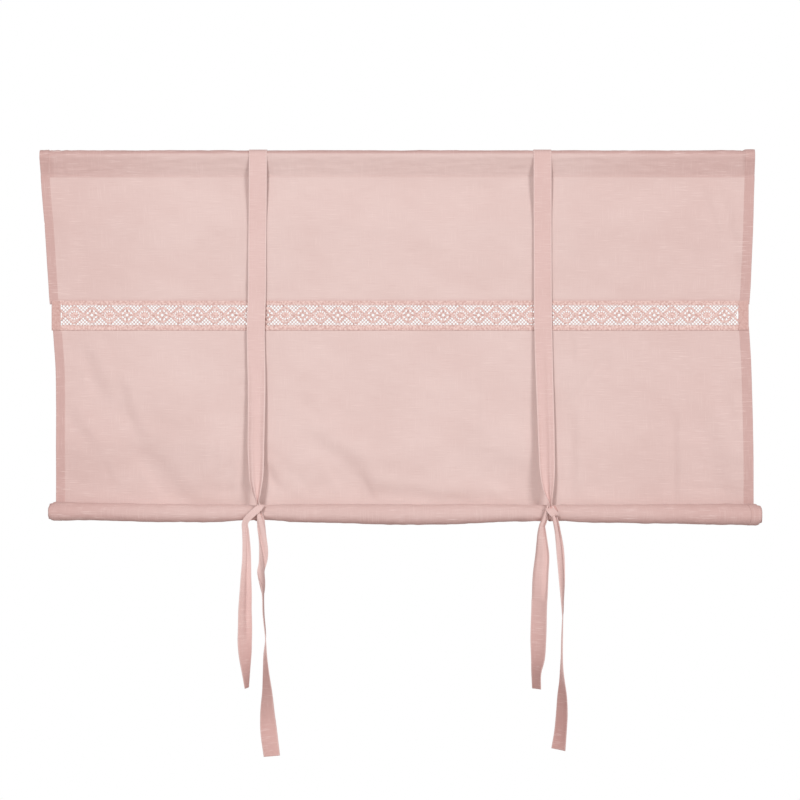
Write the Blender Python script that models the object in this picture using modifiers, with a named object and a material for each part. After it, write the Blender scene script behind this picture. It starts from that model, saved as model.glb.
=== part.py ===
"""A tie-up window curtain, hung on its rod pocket and rolled up from below.

Two linen panels are joined by a lace insert. The lower panel is rolled towards the front
into a spiral, and two long ribbons, each laid over the pocket, hold the roll in a knot.

Metres, +Z up. X runs along the rod and the front faces -Y. The origin lies on the axis of
the rod, halfway along the pocket.
"""

import math

import bmesh
import bpy
import numpy as np

# Cloth
CLOTH = 0.0008          # thickness of one layer of the panels
RIBBON = 0.0012         # thickness of a ribbon, which is cloth folded double
LACE = 0.0008           # thickness of the lace
GAP = 0.0003            # clearance between layers and pieces that touch

# Rod pocket
ROD_RADIUS = 0.010
POCKET_DROP = 0.041     # from the rod's axis down to the pocket's lower edge
POCKET_SEAM = 0.005     # height over which the pocket's two layers lie flat together
END_LIFT = 0.0012       # how much higher the pocket stands at its right end

# Panels
WIDTH = 1.400
HEM_LEFT = 0.018
HEM_RIGHT = 0.020
HEM_EASE = 0.012        # width over which the cloth settles beside a side hem
BILLOW = 0.010          # how far the slack cloth stands forward of the rod's axis
# How far each side edge is drawn in from the full width, by height
DRAW_LEFT = ((0.02, 0.0), (-0.09, 0.006), (-0.185, 0.013), (-0.283, 0.0195),
             (-0.36, 0.028), (-0.477, 0.0322), (-0.66, 0.0315))
DRAW_RIGHT = ((0.02, 0.001), (-0.036, 0.001), (-0.148, 0.005), (-0.268, 0.011),
              (-0.328, 0.014), (-0.355, 0.012), (-0.614, 0.003), (-0.70, 0.003))

# Lace insert
LACE_CENTRE = -0.3118
LACE_HEIGHT = 0.058
LACE_OPEN = 0.0385      # height of the openwork between the two solid edges
LACE_LAP = 0.007        # how far the lace's edges lie over the panels
LACE_REPEAT = 0.0687
LACE_FIRST = -0.6317    # centre of the first medallion
TRAIL = 0.0045          # width of the solid trails that cross between the motifs
MEDALLION = 0.0188      # half width of the diamond round a medallion
EYE = (0.0075, 0.0055)
RING = (0.0122, 0.0102)
RING_BRIDGE = 24.0      # half angle, in degrees, of the solid piece that carries the eye
FLOWER = (0.0088, 0.0044)

# Knots
LEFT_KNOT = -0.274
RIGHT_KNOT = 0.2985
KNOT_LIFT = 22.0        # degrees that a knot sits above the front of the roll
KNOT = (0.0075, 0.0048, 0.0085)
KNOT_ENTRY = 0.002      # how far above and below its centre the ribbon's ends enter it

# Roll
ROLL_DROP = 0.6957      # from the rod's axis down to the roll's centre line at the knots
ROLL_DEPTH = 0.004      # from the rod's axis forward to the roll's centre line
ROLL_CORE = 0.0045
ROLL_TURNS = 5.25
TURN_STATIONS = 12
ROLL_WIDTH = 1.396
ROLL_SHIFT = 0.0148     # the roll lies this far to the right of the pocket
TIED_RADIUS = 0.0153    # outer radius of the roll under a knot
PINCHED_RADIUS = 0.0164
PINCH = 0.020           # distance to either side of a knot that has the pinched radius
# Away from the knots: place along X, rise above the height at the knots, outer radius
FREE_ROLL = ((-0.690, 0.0032, 0.0186), (-0.543, 0.0007, 0.0183), (-0.130, -0.0015, 0.0190),
             (0.010, -0.0033, 0.0205), (0.150, -0.0015, 0.0190), (0.573, -0.0023, 0.0200),
             (0.720, -0.0031, 0.0205))
SETTLE = 0.14           # height above the roll over which the cloth goes back to meet it

# Ribbons
RIBBON_WIDTH = 0.035
RIBBON_PLEAT = 0.0011   # depth of the pleats where a ribbon is gathered
LEAVE_ANGLE = 138.0     # degrees round the roll at which a ribbon starts out to its knot
# Width of a ribbon by its height above the knot
GATHER = ((0.0, 0.006), (0.011, 0.007), (0.024, 0.014), (0.048, 0.025), (0.073, 0.029),
          (0.110, RIBBON_WIDTH))
LEFT_RUN = ((0.0, -0.273), (-0.35, -0.277), (-0.61, -0.276), (-0.66, -0.275))
RIGHT_RUN = ((0.0, 0.2835), (-0.33, 0.2835), (-0.614, 0.2920), (-0.66, 0.2945))
SHORT_TAILS = (0.3515, 0.356)
LONG_TAILS = (0.484, 0.4775)
# Each tail by its share of the length: sideways place, width, and turn in degrees
LEFT_SHORT = ((0.0, 0.0, 0.010, 0), (0.037, -0.012, 0.011, 5), (0.075, -0.021, 0.0125, 5),
              (0.198, -0.020, 0.019, 35), (0.326, -0.020, 0.028, 41), (0.475, -0.022, 0.035, 31),
              (0.626, -0.023, 0.035, 26), (0.740, -0.023, 0.035, 31), (0.800, -0.022, 0.035, 48),
              (0.882, -0.021, 0.035, 67), (1.0, -0.0205, 0.035, 80))
LEFT_LONG = ((0.0, 0.0, 0.010, 0), (0.051, 0.009, 0.015, 10), (0.112, 0.011, 0.018, 35),
             (0.188, 0.013, 0.024, 44), (0.269, 0.012, 0.030, 66), (0.347, 0.013, 0.035, 80),
             (0.424, 0.014, 0.035, 86), (0.537, 0.0175, 0.035, 94), (0.579, 0.018, 0.035, 102),
             (0.663, 0.0185, 0.035, 112), (0.740, 0.0205, 0.035, 124),
             (0.831, 0.0215, 0.035, 144), (0.913, 0.024, 0.035, 170), (1.0, 0.030, 0.035, 154))
RIGHT_SHORT = ((0.0, 0.0, 0.010, 0), (0.035, -0.010, 0.010, 0), (0.094, -0.0165, 0.0125, 10),
               (0.195, -0.0165, 0.026, 35), (0.320, -0.0175, 0.035, 34),
               (0.449, -0.020, 0.035, 33), (0.576, -0.0205, 0.035, 29),
               (0.730, -0.0225, 0.035, 34), (0.823, -0.023, 0.035, 47),
               (0.927, -0.0265, 0.035, 63), (1.0, -0.026, 0.035, 64))
RIGHT_LONG = ((0.0, 0.0, 0.010, 0), (0.051, 0.0115, 0.0105, 10), (0.098, 0.015, 0.012, 20),
              (0.161, 0.0205, 0.018, 30), (0.237, 0.0235, 0.022, 45), (0.302, 0.0245, 0.028, 62),
              (0.379, 0.0255, 0.035, 76), (0.440, 0.025, 0.035, 83), (0.626, 0.023, 0.035, 90),
              (0.708, 0.0235, 0.035, 98), (0.769, 0.024, 0.035, 118),
              (0.892, 0.0235, 0.035, 130), (0.951, 0.020, 0.035, 134),
              (1.0, 0.0165, 0.035, 141))

# Colours
LINEN_COLOUR = (0.76, 0.57, 0.53, 1.0)
RIBBON_COLOUR = (0.74, 0.55, 0.51, 1.0)
LACE_COLOUR = (0.80, 0.62, 0.58, 1.0)
CLOTH_ROUGHNESS = 0.9

LAYER = CLOTH + GAP     # spacing of two layers that lie together


def by_height(table, z):
    """Value at height z of a table of (height, value) rows, straight between the rows."""
    rows = sorted(table)
    return float(np.interp(z, [row[0] for row in rows], [row[1] for row in rows]))


def ease(share):
    """Smooth step from 0 to 1."""
    share = min(max(share, 0.0), 1.0)
    return share * share * (3.0 - 2.0 * share)


def side_edge(side, z):
    """Place of the panels' left (-1) or right (+1) edge at height z."""
    draw = DRAW_LEFT if side < 0 else DRAW_RIGHT
    return side * (WIDTH / 2 - by_height(draw, z))


def hem_of(side):
    """Width of the left (-1) or right (+1) side hem."""
    return HEM_LEFT if side < 0 else HEM_RIGHT


def forward(z):
    """How far the hanging cloth stands forward at height z, flat behind the lace insert."""
    bend = ((-POCKET_DROP, 0.0), (LACE_CENTRE + LACE_HEIGHT, BILLOW),
            (LACE_CENTRE - LACE_HEIGHT, BILLOW), (SETTLE - ROLL_DROP, BILLOW),
            (-ROLL_DROP, 0.0))
    return by_height(bend, z)


def roll_sections():
    """Places along the roll with its rise and outer radius, the squeeze at the knots included."""
    sections = list(FREE_ROLL)
    for knot in (LEFT_KNOT, RIGHT_KNOT):
        sections += [(knot - PINCH, 0.0, PINCHED_RADIUS), (knot, 0.0, TIED_RADIUS),
                     (knot + PINCH, 0.0, PINCHED_RADIUS)]
    return sorted(sections)


def roll_centre(x):
    """Height of the roll's centre line at x."""
    places, rises, _ = zip(*roll_sections())
    return float(np.interp(x, places, rises)) - ROLL_DROP


def roll_radius(x):
    """Outer radius of the roll at x."""
    places, _, radii = zip(*roll_sections())
    return float(np.interp(x, places, radii))


def cloth_material(name, colour):
    """A matt cloth of one colour."""
    material = bpy.data.materials.new(name)
    material.use_nodes = True
    shader = material.node_tree.nodes["Principled BSDF"]
    shader.inputs["Base Color"].default_value = colour
    shader.inputs["Roughness"].default_value = CLOTH_ROUGHNESS
    shader.inputs["Metallic"].default_value = 0.0
    material.diffuse_color = colour
    return material


def sheet(name, rows, thickness, material, collection):
    """A sheet of cloth whose middle surface passes through the rows of points."""
    grid = bmesh.new()
    bmesh.ops.create_grid(grid, x_segments=len(rows[0]) - 1, y_segments=len(rows) - 1,
                          size=1.0)
    ordered = sorted(grid.verts, key=lambda vertex: (round(vertex.co.y, 4), vertex.co.x))
    places = [point for row in rows for point in row]
    for vertex, place in zip(ordered, places):
        vertex.co = place
    mesh = bpy.data.meshes.new(name)
    grid.to_mesh(mesh)
    grid.free()
    mesh.materials.append(material)
    piece = bpy.data.objects.new(name, mesh)
    collection.objects.link(piece)
    wall = piece.modifiers.new("Thickness", "SOLIDIFY")
    wall.thickness = thickness
    wall.offset = 0.0
    wall.use_even_offset = True
    return piece


def side_columns(side):
    """Columns of a side hem, from its folded-back edge round to the cloth beside it.

    Each column is (side, distance in from the side edge, layer), and layer 1 lies behind.
    """
    hem = hem_of(side)
    columns = [(side, hem, 1), (side, 0.0, 1), (side, 0.0, 0), (side, hem, 0),
               (side, hem + HEM_EASE, 0)]
    return columns if side < 0 else columns[::-1]


def panel_columns(places):
    """Columns across a panel: the left hem, the given places along X, the right hem."""
    middle = [(0, place, 0) for place in places]
    return side_columns(-1) + middle + side_columns(1)


def column_x(column, left, right):
    """X of a column where the side edges are at left and right."""
    side, distance, _ = column
    if side < 0:
        return left + distance
    if side > 0:
        return right - distance
    return distance


def pocket_section(radius, seam_depth):
    """Section of the pocket from its seam up the front, over the rod and down the back.

    The two layers leave the rod's circle along its tangents from the seam. Each point
    comes with the direction of the cloth's inner side.
    """
    seam = -(POCKET_DROP - POCKET_SEAM)
    lean = math.asin(radius / abs(seam))
    points = []
    arc_stations = 9
    for angle in np.linspace(-lean, math.pi + lean, arc_stations):
        inward = (math.cos(angle), -math.sin(angle))
        points.append((-radius * inward[0], -radius * inward[1], inward))
    points.append((seam_depth, seam, (-1.0, 0.0)))
    points.append((seam_depth, -POCKET_DROP, (-1.0, 0.0)))
    return points


def upper_panel(material, collection):
    """The upper panel with its rod pocket, from the lace up and over the rod."""
    columns = panel_columns((-0.40, 0.0, 0.40))
    lower_edge = LACE_CENTRE + LACE_HEIGHT / 2 - LACE_LAP
    heights = (lower_edge, lower_edge * 0.75, lower_edge * 0.5, lower_edge * 0.25,
               -POCKET_DROP, -(POCKET_DROP - POCKET_SEAM))
    straight = [(-forward(z), z, (1.0, 0.0)) for z in heights]
    rows = []
    station_count = len(straight) + len(pocket_section(ROD_RADIUS, 0.0))
    for station in range(station_count):
        row = []
        for column in columns:
            side, distance, layer = column
            in_hem = side != 0 and distance <= hem_of(side)
            radius = ROD_RADIUS + GAP + CLOTH / 2
            seam_depth = LAYER
            if in_hem:
                radius += LAYER + (END_LIFT if side > 0 else 0.0)
                seam_depth = 3 * LAYER
            section = straight + pocket_section(radius, seam_depth)
            y, z, inward = section[station]
            x = column_x(column, side_edge(-1, z), side_edge(1, z))
            row.append((x, y + inward[0] * layer * LAYER, z + inward[1] * layer * LAYER))
        rows.append(row)
    return sheet("upper_panel", rows, CLOTH, material, collection)


def lower_panel(material, collection):
    """The lower panel: hanging cloth, then the roll as a true spiral in front of it."""
    columns = panel_columns([section[0] for section in roll_sections()[1:-1]])
    top = LACE_CENTRE - LACE_HEIGHT / 2 + LACE_LAP
    shares = (0.0, 0.08, 0.25, 0.45, 0.62, 0.76, 0.87)
    rows = [hanging_row(columns, top + (-ROLL_DROP - top) * share) for share in shares]
    turn_count = int(ROLL_TURNS * TURN_STATIONS)
    for station in range(turn_count + 1):
        rows.append(roll_row(columns, 2 * math.pi * station / TURN_STATIONS))
    return sheet("lower_panel", rows, CLOTH, material, collection)


def hanging_row(columns, z):
    """One level of the hanging cloth, which goes back to the back of the roll at its foot."""
    row = []
    for column in columns:
        x = column_x(column, side_edge(-1, z), side_edge(1, z))
        foot = roll_centre(x)
        back = roll_radius(x) - CLOTH / 2 - ROLL_DEPTH
        y = back * ease(1.0 - (z - foot) / SETTLE) - forward(z)
        row.append((x, y + column[2] * LAYER, z))
    return row


def roll_row(columns, angle):
    """One line along the roll, at an angle turned from its back down and round."""
    spread = ease(angle / math.pi)
    ends = []
    for side in (-1, 1):
        foot = roll_centre(side * WIDTH / 2)
        hanging = side_edge(side, foot)
        rolled = ROLL_SHIFT + side * ROLL_WIDTH / 2
        ends.append(hanging + (rolled - hanging) * spread)
    row = []
    for column in columns:
        x = column_x(column, ends[0], ends[1])
        outer = roll_radius(x) - CLOTH / 2
        radius = outer - (outer - ROLL_CORE) * angle / (2 * math.pi * ROLL_TURNS)
        radius += column[2] * LAYER
        row.append((x, radius * math.cos(angle) - ROLL_DEPTH,
                    roll_centre(x) - radius * math.sin(angle)))
    return row


def oval(half_width, half_height, start, end, count):
    """Points on an oval from one angle to another, in degrees from the right."""
    angles = np.radians(np.linspace(start, end, count))
    return [(half_width * math.cos(a), half_height * math.sin(a)) for a in angles]


def ring_gap():
    """The gap round a medallion's eye, open but for a bridge at its foot."""
    start = -90 + RING_BRIDGE
    end = 270 - RING_BRIDGE
    return oval(*RING, start, end, 10) + oval(*EYE, end, start, 8)


def flower_gap():
    """A gap of four petals."""
    count = 8
    points = []
    for step in range(count):
        radius = FLOWER[1] if step % 2 == 0 else FLOWER[0]
        angle = 2 * math.pi * step / count
        points.append((radius * math.cos(angle), radius * math.sin(angle)))
    return points


def ground_gap(toward_medallion, level):
    """The gap between two crossing trails and the lace's edge, above or below."""
    flower_half = LACE_REPEAT / 2 - MEDALLION
    apex = TRAIL * 0.9
    base = LACE_OPEN / 2 - GAP
    side = toward_medallion
    points = [(0.0, level * apex), (side * (MEDALLION - TRAIL * 1.5), level * base),
              (-side * (flower_half - TRAIL * 1.2), level * base)]
    return points


def lace_gaps(left, right):
    """Outlines of all the gaps whose whole width lies between the two side hems."""
    gaps = []
    for repeat in range(int(WIDTH / LACE_REPEAT) + 1):
        centre = LACE_FIRST + repeat * LACE_REPEAT
        motifs = [(centre, ring_gap()), (centre + LACE_REPEAT / 2, flower_gap())]
        for side in (-1, 1):
            for level in (-1, 1):
                motifs.append((centre + side * MEDALLION, ground_gap(-side, level)))
        for place, outline in motifs:
            moved = [(place + x, y) for x, y in outline]
            xs = [x for x, _ in moved]
            if min(xs) > left and max(xs) < right:
                gaps.append(moved)
    return gaps


def lace_band(material, collection):
    """The lace insert, a flat pierced band whose solid edges lie over both panels."""
    left = side_edge(-1, LACE_CENTRE)
    right = side_edge(1, LACE_CENTRE)
    half = LACE_HEIGHT / 2
    outlines = [[(left, -half), (right, -half), (right, half), (left, half)]]
    outlines += lace_gaps(left + HEM_LEFT, right - HEM_RIGHT)
    flat = bpy.data.curves.new("lace_band", "CURVE")
    flat.dimensions = "2D"
    flat.fill_mode = "BOTH"
    flat.extrude = LACE / 2
    for outline in outlines:
        spline = flat.splines.new("POLY")
        spline.points.add(len(outline) - 1)
        for point, (x, y) in zip(spline.points, outline):
            point.co = (x, y, 0.0, 1.0)
        spline.use_cyclic_u = True
    flat.materials.append(material)
    piece = bpy.data.objects.new("lace_band", flat)
    piece.rotation_euler = (math.pi / 2, 0.0, 0.0)
    piece.location = (0.0, -forward(LACE_CENTRE) - (CLOTH / 2 + GAP + LACE / 2), LACE_CENTRE)
    collection.objects.link(piece)
    return piece


def across(centre, width, turn=0.0, pleat=0.0, folds=4):
    """Points across a ribbon, turned about its length, with a pleat at every other one."""
    x, y, z = centre
    points = []
    for step in range(folds + 1):
        along = width * (step / folds - 0.5)
        depth = pleat * (1 if step % 2 else -1)
        points.append((x + along * math.cos(turn) - depth * math.sin(turn),
                       y + along * math.sin(turn) + depth * math.cos(turn), z))
    return points


def knot_place(x):
    """Centre of a knot, which rests on the front of the roll."""
    reach = roll_radius(x) + 2 * GAP + KNOT[1]
    lift = math.radians(KNOT_LIFT)
    return (x, -ROLL_DEPTH - reach * math.cos(lift), roll_centre(x) + reach * math.sin(lift))


def front_run(run, knot):
    """Rows of the ribbon from the knot straight up to the front of the pocket."""
    knot_x, knot_y, knot_z = knot
    pocket = ROD_RADIUS + GAP + CLOTH + GAP + RIBBON / 2
    rows = []
    heights = [KNOT_ENTRY] + [row[0] for row in GATHER[1:]]
    heights += [-knot_z * share for share in (0.3, 0.5, 0.75)]
    swing = 0.03            # height above the knot over which the ribbon swings into its line
    for height in heights:
        z = knot_z + height
        y = knot_y + (-pocket - knot_y) * height / -knot_z
        share = ease(height / swing)
        x = knot_x + (by_height(run, z) - knot_x) * share
        width = by_height(GATHER, height)
        pleat = RIBBON_PLEAT * (1.0 - width / RIBBON_WIDTH)
        rows.append(across((x, y, z), width, 0.0, pleat))
    return rows


def over_pocket(run):
    """Rows of the ribbon over the rod pocket, from its front to its back."""
    radius = ROD_RADIUS + GAP + CLOTH + GAP + RIBBON / 2
    x = by_height(run, 0.0)
    rows = []
    for angle in np.linspace(0.0, math.pi, 9):
        rows.append(across((x, -radius * math.cos(angle), radius * math.sin(angle)),
                           RIBBON_WIDTH))
    return rows


def back_run(run, knot):
    """Rows of the ribbon down the back and round under the roll, up to the knot."""
    pocket = ROD_RADIUS + GAP + CLOTH + GAP + RIBBON / 2
    knot_x, knot_y, knot_z = knot
    foot = roll_centre(knot_x)
    wrap = PINCHED_RADIUS + 2 * GAP + RIBBON / 2
    rows = []
    for share in (0.25, 0.5, 0.75, 0.92):
        y = pocket + (wrap - ROLL_DEPTH - pocket) * share
        x = by_height(run, 0.0) + (knot_x - by_height(run, 0.0)) * share
        rows.append(across((x, y, foot * share), RIBBON_WIDTH))
    reach = roll_radius(knot_x) + 2 * GAP + KNOT[1]
    end = math.pi + math.radians(KNOT_LIFT) - KNOT_ENTRY / reach
    leave = math.radians(LEAVE_ANGLE)
    for angle in np.linspace(0.0, end, 12):
        radius = wrap + (reach - wrap) * ease((angle - leave) / (end - leave))
        width = RIBBON_WIDTH + (KNOT[0] - RIBBON_WIDTH) * ease(angle / end)
        rows.append(across((knot_x, radius * math.cos(angle) - ROLL_DEPTH,
                            foot - radius * math.sin(angle)), width))
    return rows


def tail_rows(length, stations, knot):
    """Rows of a tail of that length, which hangs from the knot."""
    knot_x, knot_y, knot_z = knot
    rows = []
    for share, sideways, width, turn in stations:
        place = (knot_x + sideways, knot_y, knot_z - length * share)
        rows.append(across(place, width, math.radians(turn), folds=2))
    return rows


def knot_body(name, knot, material, collection):
    """The knot: a firm oval lump of gathered ribbon."""
    core = bmesh.new()
    bmesh.ops.create_uvsphere(core, u_segments=12, v_segments=8, radius=1.0)
    for vertex in core.verts:
        vertex.co = [place + size * part
                     for place, size, part in zip(knot, KNOT, vertex.co)]
    mesh = bpy.data.meshes.new(name)
    core.to_mesh(mesh)
    core.free()
    mesh.materials.append(material)
    piece = bpy.data.objects.new(name, mesh)
    collection.objects.link(piece)
    return piece


def tie_ribbon(name, run, knot_x, tails, material, collection, guides):
    """One ribbon: over the pocket, down both sides, knotted, with two tails."""
    knot = knot_place(knot_x)
    rows = front_run(run, knot) + over_pocket(run) + back_run(run, knot)
    ribbon = sheet(name, rows, RIBBON, material, collection)
    joined = [knot_body(name + "_core", knot, material, guides)]
    for number, (length, stations) in enumerate(tails):
        joined.append(sheet(f"{name}_tail_{number}", tail_rows(length, stations, knot),
                            RIBBON, material, guides))
    for other in joined:
        other.hide_render = True
        other.display_type = "WIRE"
        union = ribbon.modifiers.new("Join " + other.name, "BOOLEAN")
        union.operation = "UNION"
        union.solver = "EXACT"
        union.object = other
    return ribbon


def main():
    """Clear the scene and build the curtain."""
    for old in list(bpy.data.objects):
        bpy.data.objects.remove(old, do_unlink=True)
    collection = bpy.data.collections.new("tie_up_curtain")
    guides = bpy.data.collections.new("ribbon_joins")
    bpy.context.scene.collection.children.link(collection)
    bpy.context.scene.collection.children.link(guides)
    linen = cloth_material("linen", LINEN_COLOUR)
    ribbon = cloth_material("ribbon_linen", RIBBON_COLOUR)
    lace = cloth_material("lace_cotton", LACE_COLOUR)
    upper_panel(linen, collection)
    lace_band(lace, collection)
    lower_panel(linen, collection)
    left_tails = ((SHORT_TAILS[0], LEFT_SHORT), (LONG_TAILS[0], LEFT_LONG))
    right_tails = ((SHORT_TAILS[1], RIGHT_SHORT), (LONG_TAILS[1], RIGHT_LONG))
    tie_ribbon("tie_ribbon_left", LEFT_RUN, LEFT_KNOT, left_tails, ribbon, collection, guides)
    tie_ribbon("tie_ribbon_right", RIGHT_RUN, RIGHT_KNOT, right_tails, ribbon, collection,
               guides)


main()
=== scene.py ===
"""Looks of a tie-up window curtain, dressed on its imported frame.

Two linen panels, a bobbin lace insert, a rolled-up lower end and two knotted ribbons. Each
surface is a grid of points worked out with numpy, or a section carried along a path.
Metres, +Z up, X along the pocket, and the front faces -Y.
"""

import math

import bpy
import numpy as np
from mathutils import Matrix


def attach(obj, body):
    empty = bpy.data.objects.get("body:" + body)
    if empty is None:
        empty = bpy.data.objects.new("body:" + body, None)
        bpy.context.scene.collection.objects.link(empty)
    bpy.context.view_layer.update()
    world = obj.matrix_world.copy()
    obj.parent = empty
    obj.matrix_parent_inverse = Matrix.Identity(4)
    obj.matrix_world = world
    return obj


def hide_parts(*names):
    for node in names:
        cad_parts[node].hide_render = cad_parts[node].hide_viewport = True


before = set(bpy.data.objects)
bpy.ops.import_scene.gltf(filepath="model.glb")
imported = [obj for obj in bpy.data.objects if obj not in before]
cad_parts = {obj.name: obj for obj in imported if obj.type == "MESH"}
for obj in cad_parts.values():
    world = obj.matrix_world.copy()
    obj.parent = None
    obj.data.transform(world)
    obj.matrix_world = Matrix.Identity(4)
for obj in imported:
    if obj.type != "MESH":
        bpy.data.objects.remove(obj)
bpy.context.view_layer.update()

# The sizes below repeat those of the frame.
BORE_RADIUS = 0.010
POCKET_DROP = 0.041
POCKET_SEAM = 0.005
WIDTH = 1.400
HEM_LEFT = 0.018
HEM_RIGHT = 0.020
BILLOW = 0.010
LACE_CENTRE = -0.3118
LACE_HEIGHT = 0.058
LACE_LAP = 0.007
LACE_REPEAT = 0.0687
LACE_FIRST = -0.6317
LEFT_KNOT = -0.274
RIGHT_KNOT = 0.2985
KNOT_LIFT = math.radians(22.0)
ROLL_DROP = 0.6957
ROLL_DEPTH = 0.004
ROLL_CORE = 0.0045
ROLL_TURNS = 5.25
ROLL_SHIFT = 0.0148
TIED_RADIUS = 0.0153
SETTLE = 0.14
RIBBON_WIDTH = 0.035

# Looks only
CLOTH = 0.0006          # thickness of one layer of linen
LAYER = 0.0009          # spacing of two layers in a hem
RIBBON = 0.0011
HEM_STEP = 0.00035      # how far the front stands out over a hem folded behind it
HEM_LINE = 0.0022       # from a hem's inner edge to its stitches
FOLD_EDGE = 0.0008      # width at a side edge over which the cloth turns back
ROLL_WIDTH = 1.3925
LACE_OPEN = 0.0400
LACE_Y = -(BILLOW + 0.0011)
LACE_MIDDLE = LACE_CENTRE + 0.0010      # height of the middle of its openings
PIXEL = 0.001958        # size of one pixel of the view, at the curtain
VIEW = 800              # pixels across the view
ORIGIN_ACROSS = 397.5   # where the middle of the pocket's bore lies in the view
ORIGIN_DOWN = 156.5
FRONT = np.array([0.0, -1.0, 0.0])


def seen(across, down):
    """Place along X and height of points given in pixels of the view."""
    return (across - ORIGIN_ACROSS) * PIXEL, (ORIGIN_DOWN - down) * PIXEL


def columns_of(table):
    """Columns of a table as arrays."""
    return np.array(table, float).T


def points_of(*places):
    """Points from arrays of their x, y and z, or rows of other values side by side."""
    return np.stack(np.broadcast_arrays(*places), axis=-1)


def smooth(share):
    """Smooth step from 0 to 1, for arrays too."""
    share = np.clip(share, 0.0, 1.0)
    return share * share * (3.0 - 2.0 * share)


def through(places, values, at):
    """Values on a smooth curve through the given points, a cubic between each two of them."""
    places = np.asarray(places, float)
    values = np.asarray(values, float)
    slopes = np.gradient(values, places, axis=0)
    first = np.clip(np.searchsorted(places, at) - 1, 0, len(places) - 2)
    length = places[first + 1] - places[first]
    share = np.clip((at - places[first]) / length, 0.0, 1.0)
    if values.ndim > 1:
        share = share[..., None]
        length = length[..., None]
    rest = 1.0 - share
    return ((1 + 2 * share) * rest ** 2 * values[first]
            + share * rest ** 2 * length * slopes[first]
            + share ** 2 * (3 - 2 * share) * values[first + 1]
            - share ** 2 * rest * length * slopes[first + 1])


def distances(points):
    """Distance along a path of points, at each of them."""
    steps = np.linalg.norm(np.diff(points, axis=0), axis=1)
    return np.concatenate([[0.0], np.cumsum(steps)])


def unit(vectors):
    """Vectors of length 1."""
    return vectors / np.maximum(np.linalg.norm(vectors, axis=-1, keepdims=True), 1e-9)


def waves(first, second, seed, length, count=14):
    """Soft even unevenness from -1 to 1: a sum of plane waves of about the given length."""
    random = np.random.default_rng(seed)
    total = np.zeros(np.broadcast(first, second).shape)
    for _ in range(count):
        angle = random.uniform(0.0, math.pi)
        number = 2 * math.pi / (length * random.uniform(0.6, 1.6))
        phase = random.uniform(0.0, 2 * math.pi)
        total = total + np.sin(number * (first * math.cos(angle) + second * math.sin(angle))
                               + phase)
    return total / math.sqrt(count) / 1.4


# Shapes of the hanging cloth
LEFT_EDGE = (
    (40, 151.9), (41, 180), (43, 203), (45, 223), (46.8, 251), (49, 285), (50.2, 302),
    (52.2, 316), (53.4, 329), (54.6, 345), (56, 365), (56.5, 400), (56.2, 452), (55.4, 500))
RIGHT_EDGE = (
    (754.3, 150), (754.5, 175), (753.5, 202), (752.4, 232), (751, 263), (749.6, 293),
    (748.6, 306), (748.0, 322), (748.8, 334), (750.0, 352), (751.8, 400), (753.2, 452),
    (754.4, 500))


def edge_x(edge, at):
    """Place of a side edge at the heights given."""
    x, z = seen(*columns_of(edge))
    return through(-z, x, -at)


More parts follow.
